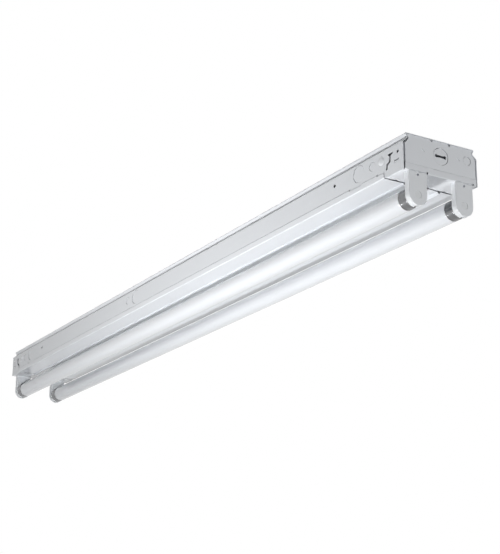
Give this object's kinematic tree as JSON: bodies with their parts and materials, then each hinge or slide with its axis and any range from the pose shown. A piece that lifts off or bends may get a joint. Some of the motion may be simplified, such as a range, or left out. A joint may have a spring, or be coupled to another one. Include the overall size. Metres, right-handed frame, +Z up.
{
  "type": "two-lamp fluorescent strip light",
  "caption": "Long white enamelled steel channel light with a pair of round tubes held below it in upright end lampholders.",
  "frame": {"origin": "centre of the channel's top face, which meets the ceiling", "axes": "+X along the channel to its right-hand end, +Y to the rear lamp, +Z up into the ceiling"},
  "size_m": [1.2192, 0.1138, 0.0881],
  "materials": {
    "white_enamel": "gloss",
    "holder_plastic": "gloss",
    "rotor_plastic": "satin",
    "contact_bronze": "satin",
    "coated_glass": "gloss",
    "cap_aluminium": "satin",
    "pin_insulator": "matte",
    "pin_brass": "satin",
    "stem_glass": "gloss",
    "ballast_steel": "satin",
    "circuit_board": "matte",
    "zinc_steel": "satin",
    "black_nylon": "matte",
    "blue_insulation": "satin",
    "red_insulation": "satin",
    "black_insulation": "satin",
    "white_insulation": "satin",
    "green_insulation": "satin",
    "orange_plastic": "gloss",
    "green_zinc": "satin"
  },
  "bodies": {
    "housing": {"channel": "white_enamel", "end_plate_left": "white_enamel", "end_plate_right": "white_enamel", "socket_tray_left": "white_enamel", "socket_tray_right": "white_enamel", "holder_body_front_left": "holder_plastic", "holder_body_front_right": "holder_plastic", "holder_body_rear_left": "holder_plastic", "holder_body_rear_right": "holder_plastic", "holder_back_front_left": "holder_plastic", "holder_back_front_right": "holder_plastic", "holder_back_rear_left": "holder_plastic", "holder_back_rear_right": "holder_plastic", "contact_front_left": "contact_bronze", "contact_front_right": "contact_bronze", "contact_rear_left": "contact_bronze", "contact_rear_right": "contact_bronze", "ballast_base": "ballast_steel", "ballast_case": "ballast_steel", "ballast_board": "circuit_board", "ballast_screws": "zinc_steel", "lead_bushings": "black_nylon", "leads_blue": "blue_insulation", "leads_red": "red_insulation", "supply_black": "black_insulation", "supply_white": "white_insulation", "earth_wire": "green_insulation", "wire_nuts": "orange_plastic", "earth_screw": "green_zinc"},
    "cover": {"channel_cover": "white_enamel"},
    "front_left_rotor": {"rotor_front_left": "rotor_plastic"},
    "front_right_rotor": {"rotor_front_right": "rotor_plastic"},
    "rear_left_rotor": {"rotor_rear_left": "rotor_plastic"},
    "rear_right_rotor": {"rotor_rear_right": "rotor_plastic"},
    "front_lamp": {"lamp_front_glass": "coated_glass", "lamp_front_caps": "cap_aluminium", "lamp_front_insulators": "pin_insulator", "lamp_front_pins": "pin_brass", "lamp_front_cathodes": "stem_glass"},
    "rear_lamp": {"lamp_rear_glass": "coated_glass", "lamp_rear_caps": "cap_aluminium", "lamp_rear_insulators": "pin_insulator", "lamp_rear_pins": "pin_brass", "lamp_rear_cathodes": "stem_glass"}
  },
  "joints": [
    {"name": "cover_release", "type": "slide", "parent": "housing", "child": "cover", "axis": [0, 0, -1], "range_m": [0, 0.009]},
    {"name": "front_lamp_turn", "type": "hinge", "parent": "housing", "child": "front_lamp", "pos_m": [0, -0.0345, -0.0749], "axis": [1, 0, 0], "range_deg": [0, 90]},
    {"name": "front_left_rotor_turn", "type": "hinge", "parent": "housing", "child": "front_left_rotor", "pos_m": [-0.6038, -0.0345, -0.0749], "axis": [1, 0, 0], "range_deg": [0, 90]},
    {"name": "front_right_rotor_turn", "type": "hinge", "parent": "housing", "child": "front_right_rotor", "pos_m": [0.6038, -0.0345, -0.0749], "axis": [1, 0, 0], "range_deg": [0, 90]},
    {"name": "rear_lamp_turn", "type": "hinge", "parent": "housing", "child": "rear_lamp", "pos_m": [0, 0.0345, -0.0749], "axis": [1, 0, 0], "range_deg": [0, 90]},
    {"name": "rear_left_rotor_turn", "type": "hinge", "parent": "housing", "child": "rear_left_rotor", "pos_m": [-0.6038, 0.0345, -0.0749], "axis": [1, 0, 0], "range_deg": [0, 90]},
    {"name": "rear_right_rotor_turn", "type": "hinge", "parent": "housing", "child": "rear_right_rotor", "pos_m": [0.6038, 0.0345, -0.0749], "axis": [1, 0, 0], "range_deg": [0, 90]}
  ],
  "couplings": [
    {"joint": "front_left_rotor_turn", "follows": "front_lamp_turn", "ratio": 1},
    {"joint": "front_right_rotor_turn", "follows": "front_lamp_turn", "ratio": 1},
    {"joint": "rear_left_rotor_turn", "follows": "rear_lamp_turn", "ratio": 1},
    {"joint": "rear_right_rotor_turn", "follows": "rear_lamp_turn", "ratio": 1}
  ]
}
